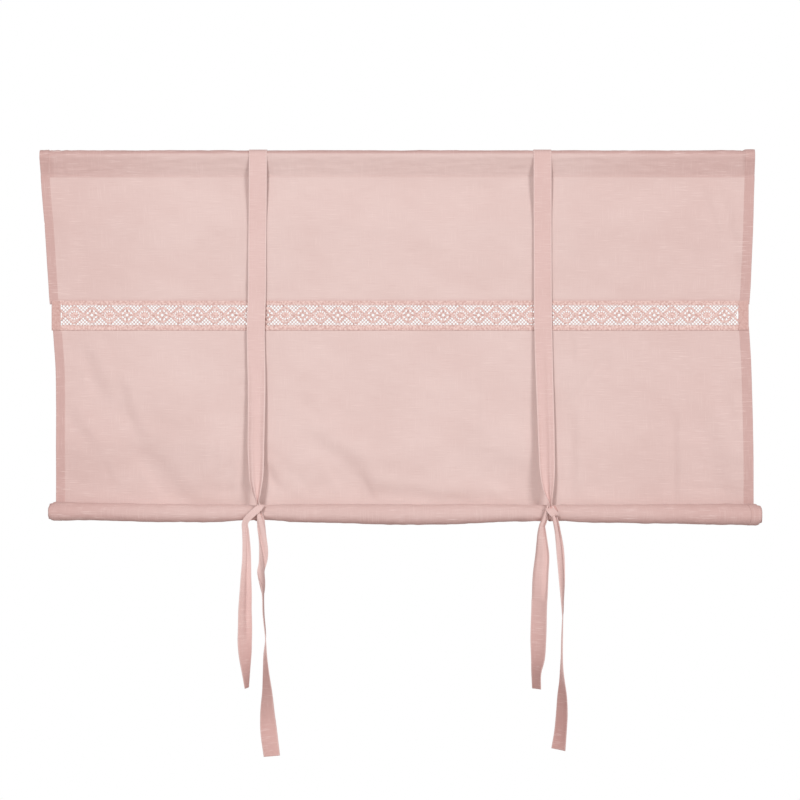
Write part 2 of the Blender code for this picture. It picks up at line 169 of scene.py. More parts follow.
# Folds of the hanging cloth: line in pixels of the view, height of the ridge, rise from one
# side to the other, and half width, in mm. A rise is positive where the right side is forward.
FOLDS = (
    (((85, 328), (88, 346), (94, 364), (103, 384), (116, 408)), 0, 4.4, 15),
    (((118, 364), (126, 392), (131, 410), (138, 427), (150, 448)), 0, 3.4, 12),
    (((118, 428), (146, 448), (162, 461), (172, 477), (183, 491), (200, 516)), 0, 6.4, 24),
    (((68, 394), (77, 418), (88, 434), (104, 460)), 0, 3.2, 13),
    (((84, 436), (92, 450)), 0.7, 0, 3),
    (((92, 372), (168, 436), (236, 500)), 0, 8.0, 50),
    (((40, 446), (90, 458), (150, 470)), 0, 4.2, 42),
    (((136, 458), (149, 479), (168, 506)), 0, -1.7, 8),
    (((106, 456), (110, 472), (116, 486)), 0, 1.2, 6),
    (((84, 366), (86, 390), (92, 404)), 1.0, 0, 6),
    (((217, 436), (218, 458), (218, 482)), 0, 1.6, 7),
    (((190, 484), (220, 486), (246, 488)), 0, 1.4, 9),
    (((228, 440), (232, 465), (233, 506)), 0, 1.5, 10),
    (((266, 456), (274, 474), (284, 492)), 0, 3.6, 9),
    (((288, 470), (300, 486), (306, 500)), 0, -1.6, 9),
    (((300, 384), (312, 404), (330, 424)), 0, 1.6, 13),
    (((290, 424), (322, 438), (346, 453), (359, 467), (369, 483), (384, 512)), 0, 5.6, 20),
    (((362, 468), (372, 487), (380, 508)), 0, 0.8, 7),
    (((358, 468), (367, 482), (376, 502)), 0, 1.0, 4),
    (((318, 460), (334, 478), (346, 496)), 0, -1.4, 10),
    (((350, 486), (395, 489), (440, 493), (508, 498)), 0, 2.9, 14),
    (((420, 496), (450, 495), (478, 497)), 0, 0.7, 4),
    (((450, 424), (498, 456), (540, 466)), 0, 5.0, 34),
    (((486, 486), (498, 492), (512, 490)), 1.6, 0, 8),
    (((452, 452), (490, 452), (534, 451)), -0.5, 0, 2.5),
    (((477, 356), (476, 400), (478, 450)), -0.9, 0, 4),
    (((574, 396), (575, 440), (574, 510)), 0, 3.6, 10),
    (((574, 330), (574, 366)), 0, 1.6, 6),
    (((604, 342), (598, 362), (589, 374), (579, 388), (566, 412)), -0.7, -2.4, 5),
    (((612, 334), (612, 378)), 1.2, 0, 9),
    (((604, 432), (608, 470)), -0.8, 0, 6),
    (((677, 396), (677, 440), (677, 514)), 0, 4.2, 9),
    (((646, 330), (648, 362)), -0.7, 0, 5),
    (((690, 340), (690, 380)), 1.0, 0, 8),
    (((698, 396), (715, 436), (726, 506)), 0, 5.0, 24),
    (((680, 484), (706, 485), (738, 488)), 0, 1.3, 5),
    (((724, 384), (732, 404), (736, 440)), 0, 1.4, 8),
    (((60, 449.5), (120, 450), (180, 449.5), (240, 450)), -0.35, 0, 3),
    (((270, 450), (350, 450.5), (440, 449.5)), -0.3, 0, 3),
    (((558, 450), (650, 450), (745, 450)), -0.35, 0, 3),
    (((60, 252), (240, 252)), -0.25, 0, 3),
    (((270, 252), (530, 252)), -0.25, 0, 3),
    (((558, 252), (748, 252)), -0.25, 0, 3),
    (((700, 176), (712, 206), (722, 240)), 0, 1.8, 9),
    (((722, 182), (736, 240), (743, 298)), 0, 2.2, 10),
    (((60, 186), (72, 230), (78, 288)), 0, -1.8, 12),
    (((505, 235), (498, 265)), -0.8, 0, 9),
)


def fold(x, z, line, height, rise, width):
    """A soft fold along a line, which fades out towards both its ends.

    Across the line at the distance d, in half widths, it is height exp(-d^2) for the ridge
    and rise d exp(-d^2 / 2) for the step from one side to the other.
    """
    points = points_of(*seen(*columns_of(line)))
    steps = np.linalg.norm(np.diff(points, axis=0), axis=1)
    total = steps.sum()
    nearest = np.full(x.shape, 1e9)
    travelled = np.zeros(x.shape)
    side = np.zeros(x.shape)
    start = 0.0
    for begin, end, step in zip(points[:-1], points[1:], steps):
        along_x, along_z = (end - begin) / step
        reach = np.clip((x - begin[0]) * along_x + (z - begin[1]) * along_z, 0.0, step)
        off_x = x - begin[0] - reach * along_x
        off_z = z - begin[1] - reach * along_z
        distance = np.hypot(off_x, off_z)
        closer = distance < nearest
        travelled = np.where(closer, start + reach, travelled)
        side = np.where(closer, off_z * along_x - off_x * along_z, side)
        nearest = np.minimum(distance, nearest)
        start += step
    fade = 0.3 * total
    ends = smooth(travelled / fade) * smooth((total - travelled) / fade)
    width = width * 0.001
    away = side / width
    return 0.001 * ends * (height * np.exp(-(nearest / width) ** 2)
                           + rise * away * np.exp(-away ** 2 / 2))


def relief(x, z):
    """How far the hanging cloth stands forward of its plain billow: folds, waves, puckers."""
    height = 0.0016 * waves(x, z * 0.6, 3, 0.21) + 0.0006 * waves(x, z, 5, 0.06)
    for line, ridge, rise, width in FOLDS:
        height = height + fold(x, z, line, ridge, rise, width)
    lace_top = LACE_CENTRE + LACE_HEIGHT / 2
    lace_foot = LACE_CENTRE - LACE_HEIGHT / 2
    for seed, seam in enumerate((-POCKET_DROP, lace_top, lace_foot), 11):
        height = height + 0.00035 * waves(x, z * 0.15, seed, 0.019) * np.exp(
            -(np.abs(z - seam) / 0.016) ** 2)
    for edge, inset, seed in ((LEFT_EDGE, HEM_LEFT - HEM_LINE, 15),
                              (RIGHT_EDGE, HEM_LINE - HEM_RIGHT, 16)):
        away = x - edge_x(edge, z) - inset
        height = height + 0.00045 * waves(z, x * 0.1, seed, 0.017) * np.exp(
            -(away / 0.008) ** 2)
    gap = np.where(z > LACE_CENTRE, z - lace_top, lace_foot - z)
    held = smooth((gap + 0.004) / 0.030) * smooth(-(z + POCKET_DROP) / 0.030)
    return height * (0.12 + 0.88 * held)


def billow(z):
    """How far the hanging cloth stands forward of the bore's axis at the heights z.

    It grows by a smooth step below the pocket, and falls by two more towards the roll.
    """
    top = smooth((-POCKET_DROP - z) / 0.105)
    lower = 0.65 * smooth((-0.38 - z) / 0.22)
    return BILLOW * top * (1.0 - lower) * (1.0 - smooth((SETTLE - ROLL_DROP - z) / SETTLE))


# Shape of the roll: top and bottom edge in pixels of the view
ROLL_TOP = (
    (48.6, 500.6), (60, 500.9), (120, 502), (200, 503), (240, 503.6), (258, 504.4),
    (276, 503.6), (320, 503), (400, 502.8), (480, 503), (530, 503.6), (550, 504.4),
    (570, 503.6), (620, 503.2), (700, 502.8), (748, 502.3), (761.4, 502.6))
ROLL_BOTTOM = (
    (48.6, 520.8), (90, 520.8), (150, 522.2), (234, 521.4), (248, 520.2), (258, 519.8),
    (268, 520.4), (290, 522.2), (330, 523.4), (362, 524.4), (410, 525.2), (466, 524.2),
    (490, 523), (514, 522.2), (538, 521.2), (549, 520.2), (560, 520.8), (578, 522.6),
    (610, 523.2), (650, 524), (700, 524.8), (735, 525.4), (761.4, 525.4))


def roll_shape(x):
    """Height of the roll's centre line and its outer radius at x."""
    edges = []
    for line in (ROLL_TOP, ROLL_BOTTOM):
        place, z = seen(*columns_of(line))
        edges.append(through(place, z, x))
    return (edges[0] + edges[1]) / 2, (edges[0] - edges[1]) / 2


def cloth_y(x, z):
    """Depth of the hanging cloth's middle surface.

    The billow and the relief bring it forward, and a smooth step above the roll back to
    the roll's rear, where the relief fades out.
    """
    centre, outer = roll_shape(x)
    back = (outer - CLOTH / 2 - ROLL_DEPTH) * smooth(1.0 - (z - centre) / SETTLE)
    return back - billow(z) - relief(x, z) * smooth((z - centre) / 0.03)


# Mesh helpers
def grid_faces(rows, columns, around=False):
    """Quads of a grid of points, closed across its columns if it goes around."""
    numbers = np.arange(rows * columns).reshape(rows, columns)
    if around:
        numbers = np.concatenate([numbers, numbers[:, :1]], axis=1)
    corners = [numbers[:-1, :-1], numbers[:-1, 1:], numbers[1:, 1:], numbers[1:, :-1]]
    return np.stack(corners, axis=-1).reshape(-1, 4)


def joined(parts):
    """Several (points, [face arrays]) parts as one part."""
    points = []
    faces = []
    start = 0
    for part_points, part_faces in parts:
        points.append(part_points)
        faces += [block + start for block in part_faces]
        start += len(part_points)
    return np.concatenate(points), faces


def closed(rings, turned=False):
    """Closed solids from their rings of points (solids, rings, points round, 3).

    turned is for rings that run the other way round, so that the faces still look outward.
    """
    count, rows, sides = rings.shape[:3]
    way = -1 if turned else 1
    first = np.arange(count)[:, None, None] * rows * sides
    walls = (grid_faces(rows, sides, True)[None, :, ::way] + first).reshape(-1, 4)
    low = np.arange(sides)[None, ::-way] + first[:, 0]
    high = np.arange(sides)[None, ::way] + (rows - 1) * sides + first[:, 0]
    return rings.reshape(-1, 3), [walls, low, high]


def tubes(paths, normals, half_width, half_height, sides=4):
    """Closed threads along paths (count, stations, 3), each an oval section with end caps.

    The section's height lies along the normals and its width across path and normal.
    """
    across = unit(np.cross(np.gradient(paths, axis=1), normals))
    half_width = np.broadcast_to(half_width, paths.shape[:2])[..., None, None]
    angles = (2 * math.pi * (np.arange(sides) + 0.5) / sides)[:, None]
    normals = np.broadcast_to(normals, paths.shape)
    return closed(paths[..., None, :] + across[..., None, :] * np.cos(angles) * half_width
                  + normals[..., None, :] * np.sin(angles) * half_height)


def dome(centres, half_sizes, height, rings, sides):
    """Closed low mounds on the XZ plane, each an oval pad of that height.

    At the level l, from -1 at the back to 1 in front, the oval has sqrt(1 - |l|^2.4) of its
    full size.
    """
    angles = 2 * math.pi * np.arange(sides) / sides
    levels = np.linspace(-1.0, 1.0, 2 * rings + 1)[1:-1, None]
    radii = np.sqrt(1.0 - np.abs(levels) ** 2.4)
    pad = points_of(half_sizes[0] * radii * np.cos(angles), -levels * height / 2,
                    half_sizes[1] * radii * np.sin(angles))
    return closed(centres[:, None, None] + pad[None], True)


def plate(shell, back, turned):
    """A closed plate from a grid of points on its front and a shift to its back."""
    both = np.concatenate([shell, (shell + (0, back, 0))[:, ::-1]], axis=1)
    return closed(both[None], turned)


def placed(name, data):
    """A new object, linked into the scene."""
    result = bpy.data.objects.new(name, data)
    bpy.context.scene.collection.objects.link(result)
    return result


def piece(name, part, material, node, layers_and_shade=0.0, uv=None, thickness=0.0):
    """A piece of the curtain from a part, with its finish, its node and its body.

    The value for the material's depth of colour is 0 where the cloth is one layer and 1 in a
    full hem. The deeper colour is painted shade, for less light passing through more layers,
    and the value also carries other painted shade and painted highlights.
    """
    points, faces = part
    mesh = bpy.data.meshes.new(name)
    mesh.from_pydata(points.tolist(), [], [row for block in faces for row in block.tolist()])
    mesh.shade_smooth()
    layer = mesh.attributes.new("layers_and_shade", "FLOAT", "POINT")
    layer.data.foreach_set("value", np.broadcast_to(layers_and_shade, len(points)).astype(np.float32))
    if uv is not None:
        corners = np.zeros(len(mesh.loops), np.int32)
        mesh.loops.foreach_get("vertex_index", corners)
        mesh.uv_layers.new(name="cloth").data.foreach_set(
            "uv", uv[corners].astype(np.float32).ravel())
    mesh.materials.append(material)
    result = placed(name, mesh)
    if thickness:
        wall = result.modifiers.new("Thickness", "SOLIDIFY")
        wall.thickness = thickness
        wall.offset = 0.0
    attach(result, "root")
    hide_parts(node)
    return result


# Materials
class Nodes:
    """Short calls for the nodes of one material."""

    def __init__(self, name):
        self.material = bpy.data.materials.new(name)
        self.material.use_nodes = True
        self.tree = self.material.node_tree
        self.shader = self.tree.nodes["Principled BSDF"]

    def put(self, node, key, value):
        """Give an input a value, or link it to another node's output."""
        if isinstance(value, bpy.types.NodeSocket):
            self.tree.links.new(value, node.inputs[key])
        else:
            node.inputs[key].default_value = value

    def add(self, kind, inputs, **settings):
        """Outputs of a new node."""
        node = self.tree.nodes.new(kind)
        for key, value in settings.items():
            setattr(node, key, value)
        for key, value in inputs.items():
            self.put(node, key, value)
        return node.outputs

    def times(self, first, second, clamp=False):
        return self.add("ShaderNodeMath", {0: first, 1: second}, operation="MULTIPLY",
                        use_clamp=clamp)[0]

    def weighted(self, *terms):
        """Sum of values, each times its weight."""
        total = 0.0
        for value, weight in terms:
            total = self.add("ShaderNodeMath", {0: total, 1: self.times(value, weight)},
                             operation="ADD")[0]
        return total

    def stretched(self, vector, *scale):
        """A vector with each axis scaled."""
        return self.add("ShaderNodeMapping", {"Vector": vector, "Scale": scale})[0]

    def noise(self, vector, scale=1.0, detail=3.0, roughness=0.5):
        return self.add("ShaderNodeTexNoise", {"Vector": vector, "Scale": scale,
                                               "Detail": detail, "Roughness": roughness})[0]

    def bands(self, vector, scale, distortion, direction, detail_scale=1.0):
        return self.add("ShaderNodeTexWave",
                        {"Vector": vector, "Scale": scale, "Distortion": distortion,
                         "Detail Scale": detail_scale}, bands_direction=direction)["Fac"]

    def ramp(self, value, low, high):
        """Share from 0 to 1 of a value between low and high."""
        return self.add("ShaderNodeMapRange", {"Value": value, "From Min": low,
                                               "From Max": high},
                        interpolation_type="SMOOTHSTEP")[0]

    # The point attribute for the depth of colour: higher values are painted shade, lower ones
    # painted highlights
    def layers_and_shade(self):
        return self.add("ShaderNodeAttribute", {}, attribute_name="layers_and_shade")["Fac"]

    def tint(self, share, base, colour):
        """A colour mixed with a share of another one, a socket or (red, green, blue)."""
        shades = [shade if isinstance(shade, bpy.types.NodeSocket) else (*shade, 1.0)
                  for shade in (base, colour)]
        return self.add("ShaderNodeMix", {0: share, 6: shades[0], 7: shades[1]},
                        data_type="RGBA")[2]

    def finish(self, colour, height, strength, roughness, sheen):
        """The finished matt cloth from its colour, bump height and roughness."""
        bump = self.add("ShaderNodeBump", {"Height": height, "Strength": strength,
                                           "Distance": 0.0006})[0]
        for key, value in (("Base Color", colour), ("Normal", bump),
                           ("Roughness", roughness), ("Sheen Weight", sheen),
                           ("Specular IOR Level", 0.25)):
            self.put(self.shader, key, value)
        return self.material


PALE_SLUB = (0.91, 0.77, 0.735)
DEEP_SLUB = (0.62, 0.44, 0.405)


def linen(name, single, hem, slub=1.0):
    """Slubby linen: single is the colour of one layer and hem that of a full hem.
    The deeper hem colour is painted shade, for less light passing through two layers.

    Light and dark slubs run along both directions of the weave, soft clouds lie over
    them, and a fine plain weave gives the bump. slub is the strength of the slubs.
    """
    nodes = Nodes(name)
    cloth = nodes.add("ShaderNodeUVMap", {}, uv_map="cloth")[0]
    layers_and_shade = nodes.layers_and_shade()
    weft = nodes.noise(nodes.stretched(cloth, 26.0, 620.0, 1.0), roughness=0.6)
    warp = nodes.noise(nodes.stretched(cloth, 560.0, 22.0, 1.0), roughness=0.6)
    patch = nodes.noise(cloth, 21.0)
    cloud = nodes.noise(nodes.stretched(cloth, 7.0, 11.0, 1.0))
    layer_shade_gain = nodes.weighted((layers_and_shade, 1.3), (1.0, 1.0))
    light = nodes.times(nodes.times(nodes.ramp(weft, 0.52, 0.72),
                                    nodes.ramp(patch, 0.30, 0.70)), layer_shade_gain)
    light_warp = nodes.times(nodes.ramp(warp, 0.52, 0.74), nodes.ramp(patch, 0.70, 0.34))
    dark = nodes.times(nodes.ramp(weft, 0.45, 0.28), layer_shade_gain)
    # Painted shade: the depth-of-colour attribute mixes in the deeper hem colour
    colour = nodes.tint(layers_and_shade, single, hem)
    for share, strength, shade in (
            (light, 0.46 * slub, PALE_SLUB), (light_warp, 0.34 * slub, PALE_SLUB),
            (dark, 0.22 * slub, DEEP_SLUB),
            (nodes.ramp(warp, 0.40, 0.22), 0.22 * slub, DEEP_SLUB),
            (nodes.ramp(cloud, 0.35, 0.70), 0.16, DEEP_SLUB)):
        colour = nodes.tint(nodes.times(share, strength, True), colour, shade)
    weave = nodes.times(nodes.bands(nodes.stretched(cloth, 1.0, 0.0, 0.0), 460.0, 0.6, "X"),
                        nodes.bands(nodes.stretched(cloth, 0.0, 1.0, 0.0), 430.0, 0.6, "Y"))
    fibre = nodes.noise(cloth, 1400.0, 2.0)
    height = nodes.weighted((weave, 0.5), (weft, 0.9), (warp, 0.5), (fibre, 0.25))
    return nodes.finish(colour, height, 0.30, nodes.weighted((light, -0.08), (0.92, 1.0)),
                        0.12)


def cotton(name, colour, pale, deep):
    """Matt cotton thread: twist ribs along both diagonals, with checks of cloth stitch."""
    nodes = Nodes(name)
    place = nodes.add("ShaderNodeTexCoord", {})["Object"]
    uneven = nodes.noise(nodes.stretched(place, 230.0, 1.0, 230.0), roughness=0.6)
    soft = nodes.noise(place, 40.0, 2.0)
    ribs = [nodes.bands(nodes.stretched(place, lean, 0.0, 1.0), 62.0, 1.0, "DIAGONAL", 3.0)
            for lean in (1.0, -1.0)]
    checks = nodes.times(*ribs)
    shade = nodes.tint(nodes.ramp(uneven, 0.36, 0.66), deep, pale)
    base = nodes.tint(0.72, colour, shade)
    base = nodes.tint(nodes.times(nodes.ramp(checks, 0.35, 0.75), 0.5), base, pale)
    base = nodes.tint(nodes.times(nodes.ramp(soft, 0.4, 0.7), 0.3), base, colour)
    # Painted shade: the depth-of-colour attribute mixes in the deep colour over cloth and in
    # the hems
    base = nodes.tint(nodes.layers_and_shade(), base, deep)
    fine = nodes.bands(place, 320.0, 1.5, "DIAGONAL")
    height = nodes.weighted((fine, 0.5), (checks, 1.0), (uneven, 1.0))
    return nodes.finish(base, height, 0.5, 0.92, 0.1)


# The second colour of each linen, the full hem's, is painted shade: cloth through which less
# light passes
panel_linen = linen("panel_linen", (0.767, 0.623, 0.591), (0.622, 0.430, 0.403))
ribbon_linen = linen("ribbon_linen", (0.830, 0.685, 0.655), (0.633, 0.378, 0.348), 1.1)
lace_thread = cotton("lace_cotton", (0.830, 0.610, 0.566), (0.93, 0.76, 0.71),
                     (0.60, 0.375, 0.338))
sewing_thread = cotton("sewing_thread", (0.80, 0.62, 0.58), (0.87, 0.73, 0.69),
                       (0.68, 0.48, 0.44))


# Panels
def edge_shade(x):
    """Painted shade: the cloth is a little deeper in colour towards both its side edges, where
    less light falls.
    """
    return 0.28 * smooth((-0.42 - x) / 0.27) + 0.23 * smooth((x - 0.22) / 0.40)


def cloth_columns(count):
    """Columns across a panel at full width, from hem to hem: place, layer, hem share.

    The layer is 1 on the folded-back part and 0 in front, and goes round the fold between.
    """
    fold_turn = np.linspace(0.0, math.pi, 6)[1:-1]
    turn = FOLD_EDGE / 2 * (1.0 - np.sin(fold_turn))
    layer = np.concatenate([np.ones(5), (1.0 + np.cos(fold_turn)) / 2, np.zeros(12)])
    share = np.concatenate([np.ones(16), np.zeros(5)])
    left, right = [
        np.concatenate([[hem, hem * 0.96, hem * 0.6, hem * 0.2, FOLD_EDGE], turn,
                        [FOLD_EDGE, 0.002, 0.005, 0.009, 0.013, hem - 0.0025, hem - 0.0012,
                         hem - 0.0004, hem + 0.0006, hem + 0.0018, hem + 0.004, hem + 0.008]])
        for hem in (HEM_LEFT, HEM_RIGHT)]
    inner = np.linspace(-WIDTH / 2 + HEM_LEFT + 0.011, WIDTH / 2 - HEM_RIGHT - 0.011, count)
    between = np.zeros(count)
    return (np.concatenate([-WIDTH / 2 + left, inner, (WIDTH / 2 - right)[::-1]]),
            np.concatenate([layer, between, layer[::-1]]),
            np.concatenate([share, between, share[::-1]]))


def place_columns(place, left, right):
    """X of the columns on rows whose side edges are at left and right."""
    share = np.clip((place + WIDTH / 2 - 0.03) / (WIDTH - 0.06), 0.0, 1.0)
    return (place + (left[:, None] + WIDTH / 2) * (1 - share)
            + (right[:, None] - WIDTH / 2) * share)


def between_edges(place, levels):
    """X of the columns on rows of the hanging cloth."""
    return place_columns(place, edge_x(LEFT_EDGE, levels), edge_x(RIGHT_EDGE, levels))


def hemmed(x, z, layer, hem):
    """Depth of the hanging cloth, with the folded-back part of its hems behind it."""
    return cloth_y(x, z) - HEM_STEP * hem * (1.0 - layer) + layer * LAYER


def panel(name, node, place, flat_v, grid, layers_and_shade):
    """A linen panel from its grid (x, y, z), with its flat places along the cloth for UV."""
    uv = points_of(place, flat_v[:, None])
    points = points_of(*grid)
    return piece(name, (points.reshape(-1, 3), [grid_faces(*points.shape[:2])]), panel_linen,
                 node, layers_and_shade.ravel(), uv.reshape(-1, 2), CLOTH)


def upper_linen():
    """The upper panel, from the lace up the front, over the bore and down to the seam.

    Each row is one level of the cloth. The pocket leaves the circle round its bore along
    two tangents, and its back layer ends in a small turned-in edge.
    """
    place, layer, hem = cloth_columns(330)
    lower_edge = LACE_CENTRE + LACE_HEIGHT / 2 - LACE_LAP
    levels = np.concatenate([np.linspace(lower_edge, -0.050, 66), [-0.046, -0.0435],
                             [-POCKET_DROP - 0.0007, -POCKET_DROP + 0.0005]])
    flat_x = between_edges(place, levels)
    flat_z = np.broadcast_to(levels[:, None], flat_x.shape)
    flat_y = hemmed(flat_x, flat_z, layer, hem)

    # The pocket: up the front, round the bore, down the back and the turned-in edge
    across = between_edges(place, np.zeros(1))[0]
    # Past a crease near its right end it stands a little further out
    raised = smooth((across - 0.6765) / 0.0006)
    crease = np.exp(-((across - 0.6758) / 0.0011) ** 2)
    radius = (BORE_RADIUS + 0.0017 + 0.0009 * hem + 0.0010 * raised
              + 0.00035 * waves(across, 0.0, 21, 0.17))
    seam = -(POCKET_DROP - POCKET_SEAM)
    lean = np.arcsin(radius / abs(seam))
    shares = np.linspace(0.0, 1.0, 15)[:, None]
    line_y = shares * (-radius * np.cos(-lean))
    line_z = seam + shares * (radius * np.sin(-lean) - seam)
    angles = -lean + np.linspace(0.0, 1.0, 25)[1:, None] * (math.pi + 2 * lean)
    arc_y = -radius * np.cos(angles)
    arc_z = radius * np.sin(angles)
    hem_back = 0.0009 + 0.0018 * hem
    back_y = arc_y[-1] + (hem_back - arc_y[-1]) * shares[1:]
    back_z = arc_z[-1] + (seam - arc_z[-1]) * shares[1:]
    edge_y = hem_back - np.array([0.0, 0.0, 0.0001, 0.0004, 0.0005])[:, None]
    edge_z = seam - POCKET_SEAM * np.array([0.4, 0.8, 0.95, 1.0, 0.8])[:, None]
    path_y = np.concatenate([line_y, arc_y, back_y, edge_y])
    path_z = np.concatenate([line_z, arc_z, back_z, np.broadcast_to(edge_z, edge_y.shape)])
    inward_y = np.concatenate([np.broadcast_to(np.cos(lean), line_y.shape), -arc_y / radius,
                               np.broadcast_to(-np.cos(lean), back_y.shape),
                               -np.ones(edge_y.shape)])
    inward_z = np.zeros(path_z.shape)
    inward_z[len(line_z):len(line_z) + len(arc_z)] = -arc_z / radius
    steps = np.hypot(np.diff(path_y[:, 40]), np.diff(path_z[:, 40]))
    travel = np.concatenate([[0.0], np.cumsum(steps)])[:, None]
    wrinkles = (0.00042 * waves(across, travel * 6.0, 31, 0.07)
                + 0.00022 * waves(across * 0.35, travel, 32, 0.008))
    # Small gathers at its left end
    gathers = smooth((0.036 - np.abs(across + 0.667)) / 0.02) * 0.0007 * np.sin(
        across * 2 * math.pi / 0.0052)
    deep = smooth(travel / 0.006) * smooth((0.075 - travel) / 0.02)
    depth = layer * LAYER + (wrinkles + gathers) * deep + 0.0017 * crease * deep
    path_y = path_y + inward_y * depth
    path_z = path_z + inward_z * depth
    # Its left end follows the outline down to the hanging cloth
    top, foot = edge_x(LEFT_EDGE, np.array([0.0, -POCKET_DROP]))
    drawn = (foot - top) * smooth(-path_z / POCKET_DROP)
    path_x = across + drawn * smooth((-0.62 - across) / 0.06)

    x = np.concatenate([flat_x, path_x])
    y = np.concatenate([flat_y, path_y])
    z = np.concatenate([flat_z, path_z])
    flat_v = np.concatenate([levels, levels[-1] + 0.004 + travel[:, 0]])
    pocket = np.where(np.arange(len(x)) < len(levels) - 1, 0.0, 1.0)[:, None]
    outwards = smooth((np.abs(across) - 0.30) / 0.32)
    lace_seam = LACE_CENTRE + LACE_HEIGHT / 2 + 0.0013
    # Deeper in colour, all painted shade: the pocket, more so towards its ends, and the hems,
    # for less light passing through two layers; the pocket's top over the bore; its left corner
    # among the gathers and its right end; both side edges; and the line above the lace, where
    # the seam allowance lies behind
    layers_and_shade = ((0.12 + 0.30 * outwards) * pocket + (0.78 - 0.22 * pocket) * hem
               + 1.1 * pocket * smooth((z - 0.003) / 0.006)
               + 0.24 * (smooth((0.034 - (across + 0.7)) / 0.016) * pocket)
               + 0.05 * (smooth((across - 0.655) / 0.03) * pocket) + edge_shade(across)
               + 0.42 * np.exp(-((z - lace_seam) / 0.0024) ** 2))
    return panel("upper_linen", "upper_panel", place, flat_v, (x, y, z),
                 np.clip(layers_and_shade, 0, 1.2))


def lower_linen():
    """The lower panel: cloth that hangs from the lace, then the roll as a true spiral.

    A row of the roll is one angle round its axis, and the radius shrinks evenly with the
    angle from the outside to the core. Returns the piece and the length of its cloth.
    """
    place, layer, hem = cloth_columns(250)
    top = LACE_CENTRE - LACE_HEIGHT / 2 + LACE_LAP
    shares = np.linspace(0.0, 1.0, 62)[:-1]
    levels = top + (-ROLL_DROP - top) * shares
    flat_x = between_edges(place, levels)
    flat_z = top + (roll_shape(flat_x)[0] - top) * shares[:, None]
    flat_y = hemmed(flat_x, flat_z, layer, hem)

    # Fine steps for the outer turn and a quarter, coarse ones inside it
    degrees = np.concatenate([np.arange(0, 46) * 10.0, 450 + np.arange(1, 61) * 24.0])
    turn = np.radians(degrees)
    settle = smooth(turn / math.pi)
    # The roll's ends draw in towards its upper edge, and drift a little from turn to turn
    tuck = 0.0085 * np.maximum(-np.sin(turn), 0.0) ** 2 * np.exp(
        -((turn - 1.5 * math.pi) / 2.4) ** 2)
    ends = []
    for side, edge in ((-1, LEFT_EDGE), (1, RIGHT_EDGE)):
        rolled = ROLL_SHIFT + side * (ROLL_WIDTH / 2 - tuck)
        drift = 0.0014 * np.sin(turn * 0.83 + side) * smooth(turn / 9.0)
        hanging = edge_x(edge, -ROLL_DROP)
        ends.append(hanging + (rolled - hanging) * settle + drift)
    roll_x = place_columns(place, *ends)
    # Painted shade on the roll's underside
    above = 0.48 * smooth((np.sin(turn) - 0.20) / 0.7)
    turn = turn[:, None]
    centre, outer = roll_shape(roll_x)
    outer = outer - CLOTH / 2 - 0.0002
    radius = outer - (outer - ROLL_CORE) * turn / (2 * math.pi * ROLL_TURNS)
    lumps = (0.00055 * waves(roll_x, turn * 0.03, 41, 0.11)
             + 0.00035 * waves(roll_x * 0.5, turn * 0.012, 42, 0.012)
             + 0.00025 * waves(roll_x, turn * 0.004, 43, 0.03))
    near_knot = np.minimum(np.abs(roll_x - LEFT_KNOT), np.abs(roll_x - RIGHT_KNOT))
    pinch = 0.0011 * np.sin(turn * 7 + roll_x * 190) * np.exp(
        -((near_knot - 0.012) / 0.016) ** 2)
    near_end = np.minimum(roll_x - ends[0][:, None], ends[1][:, None] - roll_x)
    radius = (radius + (lumps + pinch) * smooth(turn / 0.6)
              - 0.0009 * (1 - smooth(near_end / 0.0035)))
    radius = radius + (layer * 0.8 - 0.2 * hem) * LAYER

    x = np.concatenate([flat_x, roll_x])
    y = np.concatenate([flat_y, radius * np.cos(turn) - ROLL_DEPTH])
    z = np.concatenate([flat_z, centre - radius * np.sin(turn)])
    travel = np.cumsum(np.concatenate([[0.0], np.diff(turn[:, 0]) * radius[1:, 60]]))
    in_roll = np.arange(len(x))[:, None] >= len(shares)
    roll_share = np.where(in_roll, 0.48, 0.0)
    # Painted shade just above the roll, joined to that on its underside
    above = np.concatenate([smooth((0.030 - (levels + ROLL_DROP)) / 0.030) * 0.05,
                            above])[:, None]
    # Deeper in colour: painted shade on the roll, for less light through its many layers, on
    # its underside and on the cloth just above it; painted shade on the hems, for their two
    # layers, towards both side edges and in the low left corner of the hanging cloth; and
    # darker towards both ends of the roll
    layers_and_shade = (roll_share + above + (0.74 - 0.8 * roll_share) * hem
               + 0.20 * (smooth((np.abs(x - ROLL_SHIFT) - 0.42) / 0.26) * in_roll)
               + edge_shade(x)
               + 0.13 * smooth((-0.44 - z) / 0.12) * smooth((-0.30 - x) / 0.10) * ~in_roll)
    result = panel("lower_linen", "lower_panel", place,
                   np.concatenate([levels, -ROLL_DROP - travel]), (x, y, z), layers_and_shade)
    return result, ROLL_DROP + top + float(travel[-1])


# Lace
MEDAL_HALF = 0.0188     # from a medallion's centre to where the trails cross
MEDAL_APEX = 0.0160
FLOWER_HALF = LACE_REPEAT / 2 - MEDAL_HALF
FLOWER_APEX = 0.0150
FLOWER_TIP = 0.0061     # from a flower's centre to the corners of its middle
EYE = (0.0078, 0.0058)
RING = (0.0118, 0.0100)
THREAD = (0.00088, 0.0004)      # half width and half height of a thread of the ground
TRAIL = (0.00195, 0.00075)
FOOT_ROWS = (0.0, 0.0012, 0.0026, 0.0040, 0.0056, 0.0072, 0.0086, 0.0096)


def from_medal(x):
    """Distance along X from the nearest medallion's centre."""
    return np.abs((x - LACE_FIRST + LACE_REPEAT / 2) % LACE_REPEAT - LACE_REPEAT / 2)


